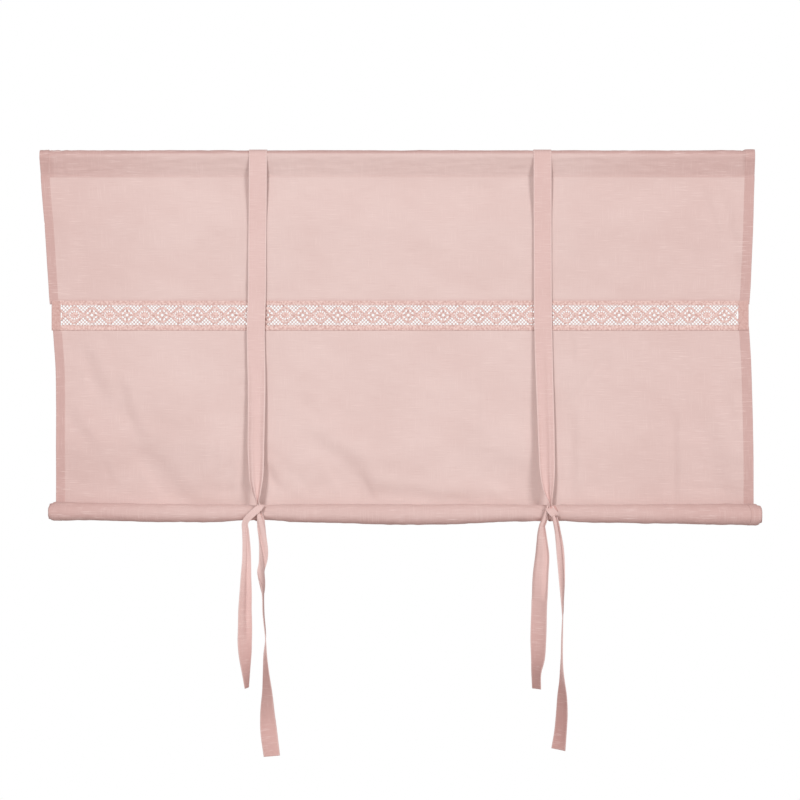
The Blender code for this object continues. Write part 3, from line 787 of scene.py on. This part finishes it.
def trail(x):
    """Height of a lace trail over the insert's centre line, a wave of rounded zigzags."""
    over = from_medal(x)
    heights = []
    for distance, half, apex in ((over, MEDAL_HALF, MEDAL_APEX),
                                 (LACE_REPEAT / 2 - over, FLOWER_HALF, FLOWER_APEX)):
        share = distance / half
        heights.append(apex * (0.45 * (1.0 - share) + 0.55 * np.cos(math.pi / 2 * share)))
    return np.where(over < MEDAL_HALF, heights[0], -heights[1])


def is_ground(x, z):
    """Whether a point lies outside the trails, or inside them and clear of the motifs."""
    over = from_medal(x)
    return (np.hypot(over / RING[0], z / RING[1]) > 1.0) & (
        (over < MEDAL_HALF) | (np.abs(z) > np.abs(trail(x))))


def lace_ground(left, right):
    """Threads of the torchon ground: diagonals that cross over and under, and knots."""
    pitch = LACE_REPEAT / 20
    across, up = np.meshgrid(np.arange(-8, 450), np.arange(-7, 7), indexing="ij")
    knots = (across + up) % 2 == 0
    x = LACE_FIRST + across * pitch
    z = up * pitch
    parts = []
    for lean in (1, -1):
        end_z = z + lean * pitch
        middle_z = (z + end_z) / 2
        chosen = (knots & (np.abs(middle_z) < LACE_OPEN / 2 + 0.0010) & (x > left)
                  & is_ground(x + pitch / 2, middle_z) & (x + pitch < right))
        lift = np.where((across + up) % 4 == 0, 1, -1) * lean * 0.00022
        paths = np.stack([points_of(x, LACE_Y - lift, LACE_MIDDLE + z)[chosen],
                          points_of(x + pitch, LACE_Y + lift, LACE_MIDDLE + end_z)[chosen]],
                         axis=1)
        parts.append(tubes(paths, FRONT, *THREAD))
    chosen = knots & (np.abs(z) < LACE_OPEN / 2) & is_ground(x, z) & (x > left) & (x < right)
    centres = points_of(x, LACE_Y, LACE_MIDDLE + z)[chosen]
    return joined(parts + [dome(centres, (0.0012, 0.0012), 0.0013, 1, 6)])


def lace_rings(centres, inner, outer, thickness):
    """Closed rings between two outlines, with a raised rim at both, one at each centre."""
    levels = ((0.0, -0.25), (0.0, 0.25), (0.12, 0.5), (0.5, 0.42), (0.88, 0.5), (1.0, 0.25),
              (1.0, -0.25), (0.88, -0.5), (0.12, -0.5))
    share, lift = columns_of(levels)
    flat = inner[:, None] + (outer - inner)[:, None] * share[:, None]
    pad = points_of(flat[..., 0], -lift * thickness, flat[..., 1])
    sides, count = pad.shape[:2]
    wall = grid_faces(sides + 1, count, True)[:, ::-1] % (sides * count)
    first = np.arange(len(centres))[:, None, None] * sides * count
    points = centres[:, None, None] + pad[None]
    return points.reshape(-1, 3), [(wall[None] + first).reshape(-1, 4)]


def lace_insert():
    """The lace insert: footsides, ground, crossing trails, medallions and flowers.

    A trail is a tube along its wave, and its mirror image crosses it. A medallion is a ring
    and two domes on one centre, joined by spokes, and a flower four domes at the corners of
    a square with threads between and around them. A footside is a plate whose depth goes in
    and out from point to point.
    """
    left, right = [float(edge_x(edge, LACE_CENTRE)) for edge in (LEFT_EDGE, RIGHT_EDGE)]
    open_left = left + HEM_LEFT - 0.001
    open_right = right - HEM_RIGHT + 0.002
    parts = [lace_ground(open_left, open_right)]

    stations = np.arange(open_left - 0.004, open_right + 0.004, 0.0019)
    phase = (stations - LACE_FIRST) * 2 * math.pi / LACE_REPEAT + 0.4
    width = TRAIL[0] + 0.00012 * np.sin(stations * 2 * math.pi / 0.0041)[None]
    for sign in (1, -1):
        path = points_of(stations, LACE_Y - sign * 0.00035 * np.sin(phase),
                         LACE_MIDDLE + sign * trail(stations))
        parts.append(tubes(path[None], FRONT, width, TRAIL[1], 8))

    medals = np.arange(LACE_FIRST - LACE_REPEAT, right + LACE_REPEAT, LACE_REPEAT)
    centres = []
    for x in (medals, medals + LACE_REPEAT / 2):
        x = x[(x > open_left + 0.004) & (x < open_right - 0.004)]
        centres.append(points_of(x, LACE_Y, LACE_MIDDLE))
    eyes, flowers = centres

    def arms(centres, shapes, half_width, half_height):
        """Threads of the same shapes at every centre."""
        paths = (centres[:, None, None] + shapes[None]).reshape(-1, *shapes.shape[1:])
        parts.append(tubes(paths, FRONT, half_width, half_height, 6))

    angles = 2 * math.pi * np.arange(36) / 36
    oval = points_of(np.cos(angles), np.sin(angles))
    parts.append(lace_rings(eyes, oval * RING - oval * 0.0010, oval * RING + oval * 0.0010,
                            0.0011))
    parts.append(dome(eyes, EYE, 0.0019, 4, 20))
    parts.append(dome(eyes, (EYE[0] * 0.6, EYE[1] * 0.55), 0.0027, 3, 16))
    spoke = 2 * math.pi * (np.arange(12) + 0.5) / 12
    inner = points_of(0.94 * EYE[0] * np.cos(spoke), 0.0, 0.94 * EYE[1] * np.sin(spoke))
    outer = points_of(RING[0] * np.cos(spoke), 0.0, RING[1] * np.sin(spoke))
    arms(eyes, np.stack([inner, (inner + outer) / 2 - (0, 0.0003, 0), outer], axis=1),
         0.00110, 0.00045)

    tips = np.array([(1, 0, 0), (0, 0, 1), (-1, 0, 0), (0, 0, -1)]) * FLOWER_TIP
    ends = tips * (FLOWER_HALF, 1, FLOWER_APEX) / FLOWER_TIP
    after = np.roll(tips, -1, axis=0)
    sides = np.stack([tips, (tips + after) * 0.53, after], axis=1)
    arms(flowers, sides, 0.0024, 0.00055)
    arms(flowers, np.stack([tips, (tips + ends) / 2 - (0, 0.0004, 0), ends], axis=1),
         0.0025, 0.00055)
    arms(flowers, sides[:, 1:2] * np.array([1.0, 1.8, 2.6])[:, None], 0.0011, 0.00055)
    parts.append(dome((flowers[:, None] + tips[None]).reshape(-1, 3), (0.0029, 0.0029),
                      0.0016, 2, 10))
    crossings = np.concatenate([eyes + (MEDAL_HALF, 0, 0), eyes - (MEDAL_HALF, 0, 0)])
    parts.append(dome(crossings, (0.0062, 0.0042), 0.0017, 3, 14))

    def checked(shape):
        """1 and -1 in turn along both directions of a grid."""
        return np.where(np.add.outer(*map(np.arange, shape)) % 2 == 0, 1, -1)

    columns = np.arange(left, right, LACE_REPEAT / 22)
    for sign in (1, -1):
        foot = LACE_HEIGHT / 2 - LACE_OPEN / 2 - sign * (LACE_MIDDLE - LACE_CENTRE)
        x, row = np.meshgrid(columns, np.array(FOOT_ROWS) * (foot / 0.0090), indexing="ij")
        ribs = checked(x.shape)
        scallop = 0.0011 * ribs[:, :1] * (row == 0.0)
        z = LACE_MIDDLE + sign * (LACE_OPEN / 2 - 0.0006 + row + scallop)
        y = LACE_Y - relief(x, z) - 0.00028 * ribs - 0.0001 * smooth(row / 0.004)
        parts.append(plate(points_of(x, y, z), 0.0007, sign > 0))

    rows = np.linspace(-LACE_HEIGHT / 2 + 0.001, LACE_HEIGHT / 2 - 0.001, 40)
    for begin, end in ((left, left + HEM_LEFT), (right - HEM_RIGHT, right)):
        x, row = np.meshgrid(np.linspace(begin, end, 14), rows, indexing="ij")
        y = LACE_Y - 0.0003 - 0.0002 * checked(x.shape)
        parts.append(plate(points_of(x, y, LACE_CENTRE + row), 0.0016, True))

    points, faces = joined(parts)
    edge = np.minimum(points[:, 0] - left - HEM_LEFT, right - HEM_RIGHT - points[:, 0])
    foot = np.abs(points[:, 2] - LACE_CENTRE) > LACE_OPEN / 2 + 0.001
    # Painted shade: a little deeper where the footsides lie over the cloth, and much deeper in
    # the hems, for less light passing through more layers
    layers_and_shade = np.where(foot & (edge > 0), 0.06, np.where(edge < 0, 0.62, 0.0))
    return piece("lace_insert", (points, faces), lace_thread, "lace_band", layers_and_shade)


# Ribbons
SHARES = np.array([0.04, 0.12, 0.20, 0.27, 0.34, 0.40, 0.437, 0.46, 0.49, 0.5])
SHARES = np.concatenate([-SHARES[::-1], SHARES])    # places across a ribbon


def strip(stations, widths, turns, pleats, phase, deepest, pressed, curl=0.0, drift=0.0,
          step=0.003):
    """Middle surface of a ribbon carried along a path.

    stations are the points of the path, widths how wide the ribbon lies there, and turns the
    angle of its width from the X axis, about the vertical. Where it lies narrower than it
    is, the rest of its width goes into pleats, whose depth keeps its length across: a cosine
    across the width, with its valleys narrowed. The pleats wander by drift turns a metre,
    and pressed is the share of their depth that is left at each station.
    Returns the grid of points and the distance along the path.
    """
    knots = distances(stations)
    travel = np.linspace(0.0, knots[-1], int(knots[-1] / step) + 2)
    path = through(knots, stations, travel)
    width = np.clip(through(knots, widths, travel), 0.003, RIBBON_WIDTH)
    turn = np.radians(through(knots, turns, travel))
    tangent = unit(np.gradient(path, axis=0))
    across = points_of(np.cos(turn), np.sin(turn), 0.0)
    across = unit(across - tangent * np.sum(across * tangent, axis=-1, keepdims=True))
    normal = np.cross(across, tangent)
    spare = np.sqrt(np.maximum(RIBBON_WIDTH ** 2 - width ** 2, 0.0))
    depth = deepest * (1.0 - np.exp(-spare / (4 * pleats) / deepest))
    depth = depth * np.interp(travel, knots, pressed)
    wave = np.cos(2 * math.pi * (pleats * (SHARES + 0.5) + drift * travel[:, None]) + phase)
    pleat = depth[:, None] * (2.0 * ((1.0 + wave) / 2) ** 3.0 - 0.6)
    pleat = pleat + curl * (1.0 - 4 * SHARES ** 2)
    points = (path[:, None] + across[:, None] * (SHARES * width[:, None])[..., None]
              + normal[:, None] * pleat[..., None])
    return points, travel


def ribbon_piece(name, node, grids, core, level, tail_shade):
    """Strips of ribbon and the core of their knot as one piece of double cloth.

    level is the depth of its colour: painted shade for less light passing through the ribbon's
    two layers, set deeper on the right ribbon as painted shade. Down the tails it grows by the
    last argument, more painted shade.
    """
    layers_and_shade = []
    uv = []
    parts = []
    shares = [SHARES] * len(grids) + [core[2]]
    for number, ((grid, travel), share) in enumerate(zip(grids + [core[:2]], shares)):
        # Painted shade: the tails are painted deeper in colour further down
        below = smooth((-ROLL_DROP - 0.03 - grid[..., 2]) / 0.40)
        # Painted highlight: both edges of a ribbon are painted lighter, and a slightly darker
        # line lies just inside them
        edge = smooth((np.abs(share) - 0.405) / 0.05) - smooth((0.11 - np.abs(
            np.abs(share) - 0.5)) / 0.02) * 0.3
        # Painted shade: the knot's core, seen in the gaps between its strands, is painted much
        # deeper
        knot_shade = 0.8 if number == len(grids) else 0.0
        layers_and_shade.append(np.clip(level + knot_shade + tail_shade * below - 0.34 * edge,
                               0, 1.2).ravel())
        uv.append(points_of(share * RIBBON_WIDTH + 0.1 * number,
                            travel[:, None]).reshape(-1, 2))
        parts.append((grid.reshape(-1, 3), [grid_faces(*grid.shape[:2])]))
    return piece(name, joined(parts), ribbon_linen, node, np.concatenate(layers_and_shade),
                 np.concatenate(uv), RIBBON)


def knot_place(x):
    """Centre of a knot, which rests on the front of the roll."""
    reach = TIED_RADIUS + 0.0054
    return np.array([x, -ROLL_DEPTH - reach * math.cos(KNOT_LIFT),
                     float(roll_shape(x)[0]) + reach * math.sin(KNOT_LIFT)])


def main_strip(gather, knot, phase, pleats):
    """The ribbon from its knot up the front, over the pocket and down the back to the knot."""
    pocket = BORE_RADIUS + 0.0030
    down, across, wide = columns_of(gather)
    x, z = seen(across, down)
    lean = (z - knot[2]) / -knot[2]
    front = points_of(x, knot[1] + (-pocket - knot[1]) * lean, z, wide * PIXEL, 1.0)
    table = list(front[::-1])       # x, y, z, width, share of the pleats' depth
    top_x = x[0]
    for angle in np.radians(np.arange(15, 180, 15)):
        table.append((top_x, -pocket * math.cos(angle), pocket * math.sin(angle),
                      RIBBON_WIDTH, 0.1))
    wrap = TIED_RADIUS + 0.0016     # the ribbon's middle, round the roll
    centre = float(roll_shape(knot[0])[0])
    for share in np.linspace(0.0, 0.9, 9):
        table.append((top_x + (knot[0] - top_x) * share ** 2.2,
                      pocket + (wrap - ROLL_DEPTH - pocket) * share, centre * share,
                      RIBBON_WIDTH, 0.3))
    end = math.pi + KNOT_LIFT
    for angle in np.linspace(0.0, end - 0.1, 14):
        radius = wrap + 0.004 * float(smooth((angle - 2.5) / (end - 2.5)))
        table.append((knot[0], radius * math.cos(angle) - ROLL_DEPTH,
                      centre - radius * math.sin(angle),
                      0.008 + (RIBBON_WIDTH - 0.008) * float(smooth(1 - angle / 2.0)), 0.05))
    table = np.array(table)
    return strip(table[:, :3], table[:, 3], np.zeros(len(table)), pleats, phase, 0.0055,
                 table[:, 4])


# The front runs: (pixels down, pixels across, width in pixels)
LEFT_FRONT = (
    (156.5, 258.15, 17.9), (200, 258.0, 17.9), (250, 257.5, 17.9), (292, 257.3, 17.9),
    (335, 256.15, 17.9), (360, 256.6, 17.9), (383, 257.0, 17.6), (420, 256.7, 16.9),
    (452, 256.3, 16.3), (470, 256.6, 14.9), (478, 256.5, 14.0), (488, 256.9, 10.0),
    (495, 257.4, 6.6), (501, 257.9, 3.2), (507, 259.0, 4.0))
RIGHT_FRONT = (
    (156.5, 542.25, 17.9), (200, 542.3, 17.9), (250, 542.4, 17.9), (300, 542.6, 17.9),
    (340, 543.1, 17.9), (383, 544.2, 17.5), (420, 545.4, 16.9), (452, 546.3, 16.2),
    (470, 546.8, 15.2), (484, 547.5, 12.4), (491, 548.0, 9.8), (498, 549.3, 5.8),
    (504, 550.3, 3.4), (509, 551.0, 4.0))

# Tails: (pixels down, pixels across, width in mm, turn in degrees, millimetres forward)
LEFT_SHORT = (
    (505.4, 259.6, 10, 0, 0.5), (504.6, 261.6, 11.5, 0, 3.4), (506.6, 260.6, 12.4, 0, 6.6),
    (510.4, 256.4, 12.6, 0, 8.4), (514.4, 252.0, 12.6, 0, 8.4), (517.6, 248.6, 12.4, 0, 7.6),
    (519.6, 246.9, 12.2, 0, 6.6), (522.2, 245.8, 12.2, 0, 5.0), (531, 246.2, 13.4, 2, 2.0),
    (545, 246.9, 15.5, 8, 0.5), (560, 246.8, 19, 26, 0), (575, 246.2, 24, 36, 0),
    (596, 245.7, 30.5, 41, 0), (608, 245.2, 32, 40, 0), (625, 245.3, 34, 40, 0),
    (640, 245.2, 35, 41, 0), (651, 245.5, 35, 46, 0), (663, 246.0, 35, 58, 0),
    (675, 246.7, 35, 70, 0), (687, 247.3, 35, 80, 0))
LEFT_LONG = (
    (505, 259.2, 8, 0, 0.0), (511, 259.8, 9, 4, 2.6), (515, 260.6, 11.5, 8, 3.2),
    (520, 261.5, 14.5, 10, 3.4), (535, 262.7, 15.5, 20, 2.0), (550.6, 263.7, 20, 33, 0.5),
    (562, 263.2, 24, 50, 0), (577, 262.8, 30, 70, 0), (593, 263.5, 35, 86, 0),
    (612, 264.0, 35, 88, 0), (640, 266.2, 35, 93, 0), (652, 265.7, 35, 101, 0),
    (671, 266.4, 35, 111, 0), (690, 267.6, 35, 124, 0), (713, 268.0, 35, 145, 0),
    (731, 269.3, 35, 160, 0), (755, 272.3, 35, 157, 0))
RIGHT_SHORT = (
    (503, 548.6, 5, 0, 0.5), (507, 547.2, 5, 0, 3.2), (511, 545.9, 5.2, 0, 5.0),
    (514.5, 544.7, 6.2, 0, 5.8), (518, 544.1, 9.8, -8, 6.0), (521.5, 543.0, 11.2, -12, 5.5),
    (525, 541.6, 11.5, -10, 4.0), (531, 541.2, 16, -12, 2.0), (543, 541.3, 23, -18, 0.5),
    (554, 541.5, 28, -18, 0), (574, 539.9, 32, -20, 0), (600, 538.9, 35, -32, 0),
    (640, 537.8, 35, -33, 0), (658, 537.4, 35, -44, 0), (672, 535.8, 35, -60, 0),
    (688, 536.1, 35, -64, 0))
RIGHT_LONG = (
    (511, 552.6, 9, 0, 0.0), (516, 553.9, 9.5, 6, 3.0), (522, 555.4, 10.8, 10, 3.2),
    (531, 557.1, 11.5, 14, 2.0), (543, 558.9, 15.5, 26, 1.0), (554, 560.0, 19, 36, 0.5),
    (574, 561.2, 22, 52, 0), (593, 561.8, 28, 72, 0), (614, 562.0, 35, 86, 0),
    (640, 561.4, 35, 91, 0), (655, 561.2, 35, 92, 0), (671, 561.2, 35, 98, 0),
    (680, 561.5, 35, 104, 0), (695, 561.6, 35, 118, 0), (712, 561.3, 35, 126, 0),
    (732, 559.8, 35, 130, 0), (748.5, 557.8, 35, 138, 0))
# The turn over the front of the right knot; at the left knot the short tail makes it
RIGHT_TURN = (
    (507.8, 549.4, 12, 0, 0.5), (507.6, 548.6, 14, 0, 3.4), (508.6, 549.2, 15, 0, 6.2),
    (510.8, 551.0, 15.4, 0, 8.0), (513.0, 552.9, 15.2, 0, 8.0), (515.0, 554.6, 14.6, 0, 6.6),
    (515.6, 555.0, 13.6, 0, 4.0), (514.6, 554.2, 12.4, 0, 1.4))


def tail(table, knot, pleats, phase, curl, deepest=0.0028, drift=0.0, flat_to=0.0):
    """A tail from its turn over the knot, pressed flat down to flat_to, to its cut end."""
    down, across, width, turn, forward = columns_of(table)
    x, z = seen(across, down)
    pressed = 0.15 + 0.85 * smooth((down - flat_to) / 8.0)
    return strip(points_of(x, knot[1] - 0.001 * forward, z), width * 0.001, turn, pleats,
                 phase, deepest, pressed, curl, drift, 0.0015)


def knot_core(knot, half_width, half_height, tilt):
    """The inner turn of a knot: a closed band round the strands, mostly hidden.

    It goes round them as an oval, and tilt turns it in the front view.
    """
    turn = np.linspace(0.0, 2 * math.pi, 41)
    share = np.linspace(-1.0, 1.0, 13)
    swell = 1.0 - 0.35 * share ** 4
    x = half_width * np.sin(turn)[:, None] * swell
    z = half_height * share * (0.75 + 0.25 * np.cos(turn))[:, None]
    y = -0.0048 * np.cos(turn)[:, None] * swell
    points = points_of(x * math.cos(tilt) - z * math.sin(tilt), y,
                       x * math.sin(tilt) + z * math.cos(tilt)) + knot
    return points, turn * 0.006, share * half_height / RIBBON_WIDTH


KNOTS_ACROSS = (259.0, 552.6)   # places of the knots in the view
FLAT_TO = 520.0                 # how far down a turn over a knot is pressed flat
left_knot, right_knot = [knot_place(seen(across, 0)[0]) for across in KNOTS_ACROSS]
left_grids = [main_strip(LEFT_FRONT, left_knot, -2.25, 1.43),
              tail(LEFT_SHORT, left_knot, 1.1, 1.9, -0.0006, 0.0018, 0.0, FLAT_TO),
              tail(LEFT_LONG, left_knot, 1.0, 2.6, 0.0008, 0.0031, -10.7)]
right_grids = [main_strip(RIGHT_FRONT, right_knot, 0.0, 1.43),
               tail(RIGHT_SHORT, right_knot, 1.1, 0.4, 0.0010, 0.0042),
               tail(RIGHT_LONG, right_knot, 1.0, 1.2, -0.0008, 0.0044),
               tail(RIGHT_TURN, right_knot, 1.3, 2.6, 0.0004, 0.0012, 0.0, FLAT_TO)]

upper = upper_linen()
lower, lower_length = lower_linen()
lace = lace_insert()
# Last two values: depth of colour, deeper on the right ribbon as painted shade, and painted
# shade down the tails
left_ribbon = ribbon_piece(
    "ribbon_left", "tie_ribbon_left", left_grids,
    knot_core(left_knot + (0.0, 0.0005, 0.0), 0.0066, 0.0062, -0.5), 0.34, 0.45)
right_ribbon = ribbon_piece(
    "ribbon_right", "tie_ribbon_right", right_grids,
    knot_core(right_knot + (0.0, 0.0005, -0.0020), 0.0070, 0.0085, 0.5), 0.43, 0.51)


# Stitching
def dashes(path, normal, lift=0.0, pitch=0.0031, length=0.0024):
    """A row of stitches along a path: short arched threads that dip in at both ends."""
    travel = distances(path)
    starts = np.arange(0.001, travel[-1] - length, pitch)
    at = starts[:, None] + np.array([0.0, 0.3, 0.7, 1.0]) * length
    normal = np.broadcast_to(unit(normal), path.shape)
    centre, facing = [points_of(*[np.interp(at, travel, row) for row in line.T])
                      for line in (path, normal)]
    facing = unit(facing)
    arch = lift + np.array([-0.00022, 0.00014, 0.00014, -0.00022])
    return tubes(centre + facing * arch[:, None], facing, 0.00022, 0.00018)


def ribbon_stitches(points, side, begin):
    """Stitches near both edges of a strip, on its side 1 or -1."""
    normal = unit(np.cross(np.gradient(points, axis=1), np.gradient(points, axis=0))) * side
    return [dashes(points[begin:, column], normal[begin:, column], RIBBON / 2)
            for column in (3, -4)]


def panel_stitches():
    """Stitches of the side hems, the pocket and both seams of the lace."""
    parts = []
    for edge, inset in ((LEFT_EDGE, HEM_LEFT - HEM_LINE), (RIGHT_EDGE, HEM_LINE - HEM_RIGHT)):
        for high, low in ((-POCKET_DROP, -0.288), (-0.338, -0.676)):
            z = np.arange(high, low, -0.003)
            x = edge_x(edge, z) + inset
            y = cloth_y(x, z) - HEM_STEP - CLOTH / 2
            parts.append(dashes(points_of(x, y, z), FRONT))
    for height in (-POCKET_DROP + 0.0028, LACE_CENTRE + 0.0268, LACE_CENTRE - 0.0268):
        x = np.arange(-0.690, 0.692, 0.003)
        z = np.full(len(x), height)
        kept = (x > edge_x(LEFT_EDGE, z) + 0.004) & (x < edge_x(RIGHT_EDGE, z) - 0.004)
        in_pocket = height > LACE_CENTRE + LACE_HEIGHT
        y = -CLOTH / 2 - 0.0004 if in_pocket else LACE_Y - relief(x, z) - 0.0003
        parts.append(dashes(points_of(x, y, z)[kept], FRONT))
    return joined(parts)


piece("seam_stitches", panel_stitches(), sewing_thread, "upper_panel")
for name, grids in (("left", left_grids), ("right", right_grids)):
    rows = []
    for side in (1, -1):
        for (grid, _), begin in zip(grids, (12, 40, 24)):
            rows += ribbon_stitches(grid, side, begin)
    piece("ribbon_stitches_" + name, joined(rows), sewing_thread,
          "tie_ribbon_" + name)


# Room, light and camera
paint = Nodes("pale_floor")
paint.put(paint.shader, "Base Color", (0.86, 0.86, 0.85, 1.0))
paint.put(paint.shader, "Roughness", 0.9)
FLOOR = -1.9
floor_mesh = bpy.data.meshes.new("floor")
floor_mesh.from_pydata([(-6, -7, FLOOR), (6, -7, FLOOR), (6, 2, FLOOR), (-6, 2, FLOOR)], [],
                       [(0, 1, 2, 3)])
floor_mesh.materials.append(paint.material)
floor = placed("floor", floor_mesh)

# Parts of each lamp's direction sideways and down for one part straight on, its strength
# and how wide it looks, in degrees
for name, aside, down, onward, power, spread in (
        ("lamp_left", 0.26, 0.36, 1.0, 1.41, 9.0), ("lamp_right", -0.62, 0.36, 1.0, 1.14, 17.0),
        ("lamp_back", 0.35, 0.05, -1.0, 2.0, 20.0)):
    light = bpy.data.lights.new(name, "SUN")
    light.energy = power
    light.angle = math.radians(spread)
    lamp = placed(name, light)
    lamp.location = (-3.0 * aside, -3.0 * onward, 1.0)
    lamp.rotation_euler = (math.atan2(math.hypot(aside, onward), down), 0.0,
                           math.atan2(onward, aside) - math.pi / 2)

# A soft light all round, and white where the camera sees past the curtain
world = bpy.data.worlds.new("studio")
bpy.context.scene.world = world
world.use_nodes = True
tree = world.node_tree
tree.nodes.clear()
rays = tree.nodes.new("ShaderNodeLightPath")
chosen = tree.nodes.new("ShaderNodeMixShader")
output = tree.nodes.new("ShaderNodeOutputWorld")
clear = rays.outputs["Is Camera Ray"]
for kind in ("Is Glossy Ray", "Is Transmission Ray"):
    either = tree.nodes.new("ShaderNodeMath")
    either.operation = "MAXIMUM"
    tree.links.new(clear, either.inputs[0])
    tree.links.new(rays.outputs[kind], either.inputs[1])
    clear = either.outputs[0]
tree.links.new(clear, chosen.inputs[0])
for number, colour, strength in ((1, (1.0, 0.66, 0.62), 0.26), (2, (1.0, 1.0, 1.0), 1.0)):
    background = tree.nodes.new("ShaderNodeBackground")
    background.inputs["Color"].default_value = (*colour, 1.0)
    background.inputs["Strength"].default_value = strength
    tree.links.new(background.outputs[0], chosen.inputs[number])
tree.links.new(chosen.outputs[0], output.inputs[0])

DISTANCE = 7.0          # from the camera to the curtain
lens = bpy.data.cameras.new("camera")
lens.sensor_width = 36.0
lens.lens = lens.sensor_width * DISTANCE / (VIEW * PIXEL)
camera = placed("camera", lens)
middle_x, middle_z = seen(VIEW / 2, VIEW / 2)
camera.location = (middle_x, -DISTANCE, middle_z)
camera.rotation_euler = (math.pi / 2, 0.0, 0.0)
bpy.context.scene.camera = camera
bpy.context.scene.view_settings.view_transform = "Standard"
